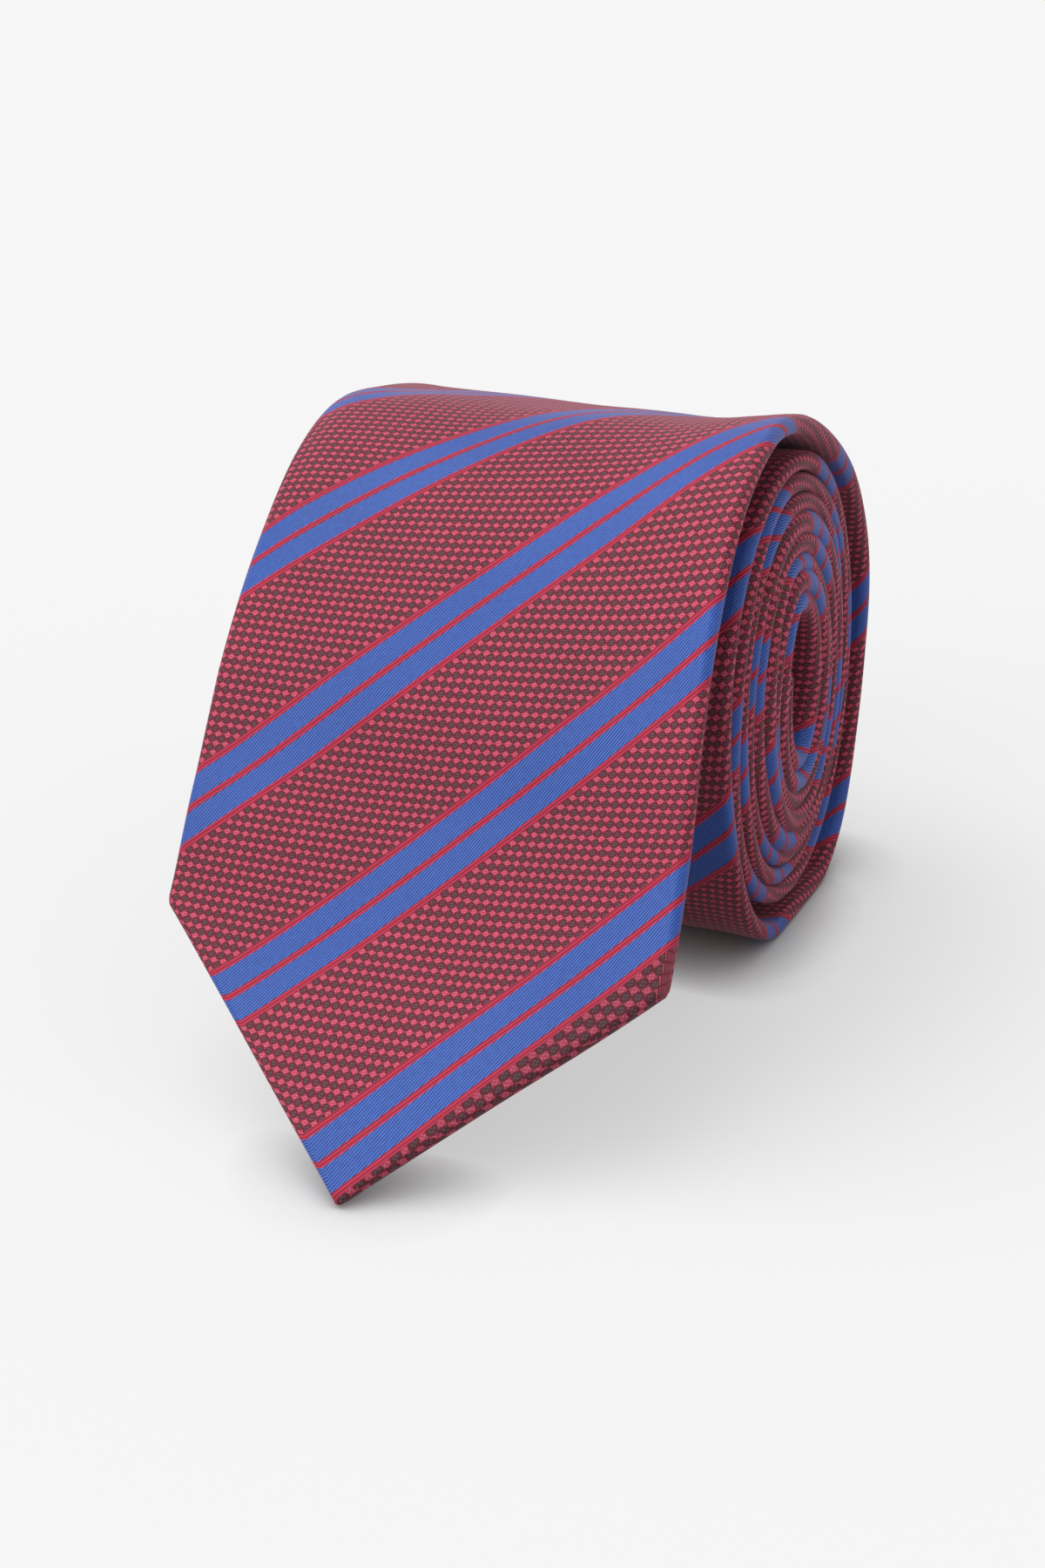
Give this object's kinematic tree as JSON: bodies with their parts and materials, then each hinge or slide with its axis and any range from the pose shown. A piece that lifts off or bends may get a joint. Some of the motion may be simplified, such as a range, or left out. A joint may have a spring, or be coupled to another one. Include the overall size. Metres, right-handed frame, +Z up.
{
  "type": "necktie",
  "caption": "Striped necktie rolled into an upright oval coil, with its broad pointed blade coming over the top and leaning down in front.",
  "frame": {"origin": "on the surface that the rolled tie stands on, under the middle of the whole object's box", "axes": "X along the coil's axis across the tie, Y from the blade's tip in front to the coil's back, Z up"},
  "size_m": [0.08, 0.1512, 0.096],
  "materials": {
    "shell_fabric": "maroon ground with small pink woven stars, blue satin bias stripes with red border lines",
    "interlining": "brushed wool blend",
    "lining": "dark red satin",
    "thread": "twisted sewing thread",
    "label": "plain navy woven satin, blank",
    "care_label": "plain white satin tape, blank"
  },
  "bodies": {
    "roll": {"front_blade_rolled": "shell_fabric", "neck_gusset": "shell_fabric", "tail_blade": "shell_fabric", "interlining_rolled": "interlining", "tail_tipping": "lining", "keeper_loop": "shell_fabric", "keeper_stitch_left": "thread", "keeper_stitch_right": "thread", "tail_bar_tack": "thread", "slip_stitch": "thread"},
    "free_blade": {"front_blade_free_end": "shell_fabric", "interlining_free_end": "interlining", "front_tipping": "lining", "maker_label": "label", "label_stitch_left": "thread", "label_stitch_right": "thread", "care_label": "care_label", "front_bar_tack": "thread"}
  },
  "joints": [
    {"name": "blade_lift", "type": "hinge", "parent": "roll", "child": "free_blade", "pos_m": [0, 0.00731, 0.096], "axis": [-1, 0, 0], "range_deg": [0, 75]}
  ]
}
